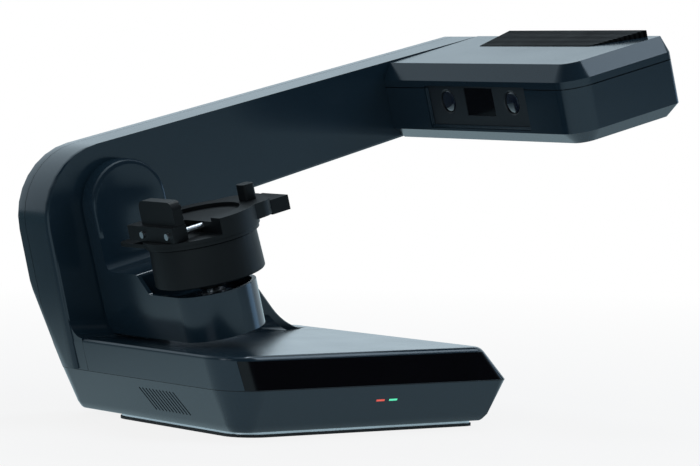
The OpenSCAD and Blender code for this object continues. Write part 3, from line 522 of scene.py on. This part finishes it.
# %% Lenses and their rings
facing_out = Matrix.Rotation(-math.pi / 2, 4, "Y")
lenses = bmesh.new()
rings = bmesh.new()
for side in (-1, 1):
    place = leaning_matrix(panel_face + window_depth, window_y + side * window_pitch / 2,
                           window_c) @ facing_out
    add_turned(lenses, dome, place)
    add_turned(rings, ring, place)
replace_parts(finished("window_lenses", lenses, "frame", "window_glass"), "camera_windows")
finished("window_rings", rings, "frame", "gloss_black")

# %% [markdown]
# ## The trim of the windows
# The panel lies in a shallow recess, and a stepped trim runs along its lower and
# its rear edge. Its two steps catch the light as two thin lines. One profile is
# pulled along each edge, and its edges are rounded a little.

# %% Stepped trim along an edge of the panel
trim_profile = [(0, 0), (1.9, 0), (1.9, 0.9), (1.0, 0.9), (1.0, 2.1), (0, 2.1)]
trim_gap = 0.05  # millimetres in front of the panel, so that no two faces share a plane
trim_round = 0.2  # millimetres
print("corners of the trim's profile:", len(trim_profile))


def stepped_trim(shape, y, c, rising, along, length):
    """Pull the profile from a corner of the panel; its steps rise over the panel."""
    corner = leaning_point(panel_face - trim_gap, y, c)
    outline = [shape.verts.new(corner + (rising * rise - arm_axis * out) / 1000)
               for out, rise in trim_profile]
    pulled = bmesh.ops.extrude_face_region(shape, geom=[shape.faces.new(outline)])
    shift_pulled(shape, pulled, along * length / 1000)


# %% The lower and the rear trim
trim = bmesh.new()
stepped_trim(trim, y=-95.2, c=-8.1, rising=table_axis, along=rear, length=127.1)
stepped_trim(trim, y=31.9, c=-5.9, rising=-rear, along=table_axis, length=29.0)
bmesh.ops.recalc_face_normals(trim, faces=trim.faces)
bmesh.ops.bevel(trim, geom=trim.edges[:], offset=trim_round / 1000, affect="EDGES",
                segments=2, profile=0.5, material=-1)
print("open edges of the trim:", sum(not e.is_manifold for e in trim.edges))
finished("window_trim", trim, "frame", "shell")

# %% [markdown]
# ## The floor
# A product is photographed on a pale floor in a pale room, and the camera sees both
# as white. The gloss sees them cooler, and the floor darker to the left rear, as in
# a studio with a black flag on that side. That is what lets the dark lacquer keep
# its depth. Under the object the floor shines less by itself, so that its shadow
# stays.

# %% Floor
floor_half = 30  # metres
shape = bmesh.new()
bmesh.ops.create_grid(shape, x_segments=1, y_segments=1, size=floor_half)
floor_mesh = bpy.data.meshes.new("floor")
shape.to_mesh(floor_mesh)
shape.free()
floor = bpy.data.objects.new("floor", floor_mesh)
bpy.context.scene.collection.objects.link(floor)
floor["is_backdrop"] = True
print("floor size in metres:", 2 * floor_half)

# %% Helpers for light paths and directions
white = (1, 1, 1, 1)


def maths(tree, operation, first, second):
    node = tree.nodes.new("ShaderNodeMath")
    node.operation = operation
    return feed(tree, node, {0: first, 1: second}).outputs[0]


def vector_value(tree, operation, inputs):
    """One number from a vector, such as its length or a dot product."""
    node = tree.nodes.new("ShaderNodeVectorMath")
    node.operation = operation
    return feed(tree, node, inputs).outputs["Value"]


def ray_kinds(tree):
    """What the camera sees itself, and what it sees in gloss or through glass."""
    path = tree.nodes.new("ShaderNodeLightPath").outputs
    in_gloss = maths(tree, "MAXIMUM", path["Is Glossy Ray"], path["Is Transmission Ray"])
    return path["Is Camera Ray"], in_gloss


# %% The floor's own light: white to the camera, cooler in the gloss
floor_paint = bpy.data.materials.new("pale_floor")
floor_paint.use_nodes = True
tree = floor_paint.node_tree
spot = tree.nodes.new("ShaderNodeTexCoord").outputs["Object"]
direct, mirrored = ray_kinds(tree)
near_colour = (0.66, 0.90, 1.0, 1)
left_colour = (0.10, 0.17, 0.20, 1)
left_way = (-0.7, 0.7, 0)
left_from, left_to = 0.12, 0.5  # metres
leftwards = vector_value(tree, "DOT_PRODUCT", {0: spot, 1: left_way})
away = ramp(tree, leftwards, left_from, left_to, kind="SMOOTHSTEP")
dusk = between(tree, away, near_colour, left_colour)
glow = feed(tree, tree.nodes.new("ShaderNodeEmission"),
            {"Color": between(tree, mirrored, white, dusk)})
print("floor colour in the gloss:", near_colour[:3], "to", left_colour[:3])

# %% The floor's surface: how much of its light shows, over matt paint
floor_colour = (0.55, 0.55, 0.56, 1)
under_share = 0.86  # of its own light, near the object
near, far = 0.3, 1.6  # metres from the object's middle
distance = vector_value(tree, "LENGTH", {0: spot})
fade = ramp(tree, distance, near, far, low=under_share)
share = maths(tree, "MULTIPLY", maths(tree, "MAXIMUM", direct, mirrored), fade)
matt = feed(tree, tree.nodes["Principled BSDF"],
            {"Base Color": floor_colour, "Roughness": 0.6})
mixed = feed(tree, tree.nodes.new("ShaderNodeMixShader"),
             {"Fac": share, 1: matt.outputs["BSDF"], 2: glow.outputs["Emission"]})
feed(tree, tree.nodes["Material Output"], {"Surface": mixed.outputs["Shader"]})
floor.data.materials.append(floor_paint)
print("floor paint:", floor_paint.name, floor_colour[:3])

# %% [markdown]
# ## The room
# The room is white to the camera and gives the object a low, even light. In the
# gloss it is cool and bright behind the object, and dark behind the camera, because
# a dark lacquer that mirrored a pale room on all sides would look grey.

# %% Room light
even_light = 0.35
dark_side = 0.03
room_colour = (0.74, 0.9, 1.0, 1)
bright_way = (0.55, 0.8, 0.25)
dark_below, bright_above = -0.25, 0.7
room = bpy.data.worlds.new("pale_room")
bpy.context.scene.world = room
room.use_nodes = True
tree = room.node_tree
direct, mirrored = ray_kinds(tree)
way = tree.nodes.new("ShaderNodeTexCoord").outputs["Generated"]
towards = vector_value(tree, "DOT_PRODUCT", {0: way, 1: bright_way})
behind = ramp(tree, towards, dark_below, bright_above, low=dark_side, kind="SMOOTHSTEP")
in_gloss = maths(tree, "MULTIPLY", mirrored, behind)
in_light = maths(tree, "MULTIPLY", maths(tree, "SUBTRACT", 1.0, mirrored), even_light)
lit = maths(tree, "ADD", in_gloss, in_light)
feed(tree, tree.nodes["Background"], {"Color": between(tree, mirrored, white, room_colour),
                                      "Strength": maths(tree, "MAXIMUM", direct, lit)})
print("room light on the object:", even_light)

# %% [markdown]
# ## Lamps
# Big soft lamps draw the broad, pale gradients that describe the leaning faces: the
# key from the right front, a weaker one from the left and one over the rear. A low
# lamp at the left draws the rims of the bracket and the column, and a small cool one
# puts a trace of blue on what faces right.

# %% Soft lamps
lamp_target = Vector((0, 0, 0.15))
pale_blue = (0.85, 0.93, 1.0)
lamps = {  # place and width in metres, power in watts, colour
    "key_lamp": ((1.1, -0.7, 1.6), 1.0, 10, (0.72, 0.87, 1.0)),
    "side_lamp": ((-1.6, -1.0, 0.9), 0.8, 4, pale_blue),
    "rim_lamp": ((-1.5, -0.55, 0.22), 0.5, 1.6, pale_blue),
    "top_lamp": ((0.6, 0.5, 2.1), 0.7, 9, pale_blue),
    "cool_lamp": ((0.75, -0.25, 0.16), 0.3, 0.4, (0.3, 0.6, 1.0)),
}
for name, (place, width, power, colour) in lamps.items():
    lamp = bpy.data.lights.new(name, "AREA")
    lamp.shape = "DISK"
    lamp.size = width
    lamp.energy = power
    lamp.color = colour
    holder = bpy.data.objects.new(name, lamp)
    holder.location = place
    aim = lamp_target - Vector(place)
    holder.rotation_euler = aim.to_track_quat("-Z", "Y").to_euler()
    bpy.context.scene.collection.objects.link(holder)
    print(name, power, "W")

# %% [markdown]
# ## Camera
# The camera stands low and far away with a long lens, so upright edges stay nearly
# parallel. It is level except for a slight nod and a hint of roll.

# %% Camera
camera_place = (-1.4434, -2.2124, 0.2589)
focal_length = 183.75  # millimetres
sensor_width = 36.0
azimuth, nod, roll = (math.radians(v) for v in (34.28, 2.61, 0.72))
forward = Vector((math.sin(azimuth) * math.cos(nod), math.cos(azimuth) * math.cos(nod),
                  -math.sin(nod)))
level = Vector((math.cos(azimuth), -math.sin(azimuth), 0))
down = forward.cross(level)
right = math.cos(roll) * level - math.sin(roll) * down
top = -(math.sin(roll) * level + math.cos(roll) * down)
lens = bpy.data.cameras.new("camera")
lens.sensor_width = sensor_width
lens.lens = focal_length
lens.clip_end = 100
camera = bpy.data.objects.new("camera", lens)
camera.matrix_world = (Matrix.Translation(camera_place)
                       @ Matrix((right, top, -forward)).transposed().to_4x4())
bpy.context.scene.collection.objects.link(camera)
bpy.context.scene.camera = camera
bpy.context.scene.view_settings.view_transform = "Standard"
print("lens", lens.lens, "mm")

# %% [markdown]
# ## Size check
# The script measures how far each side of the dressed model's box moved from the CAD solids'
# box. The dressed model may not outgrow the CAD solids.

# %% Sizes
dressed_box = [list(corner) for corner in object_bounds()]
growth = max(abs(a - b) for low, high in zip(cad_box, dressed_box) for a, b in zip(low, high))
print("largest change of a side in mm:", round(growth * 1000, 3))
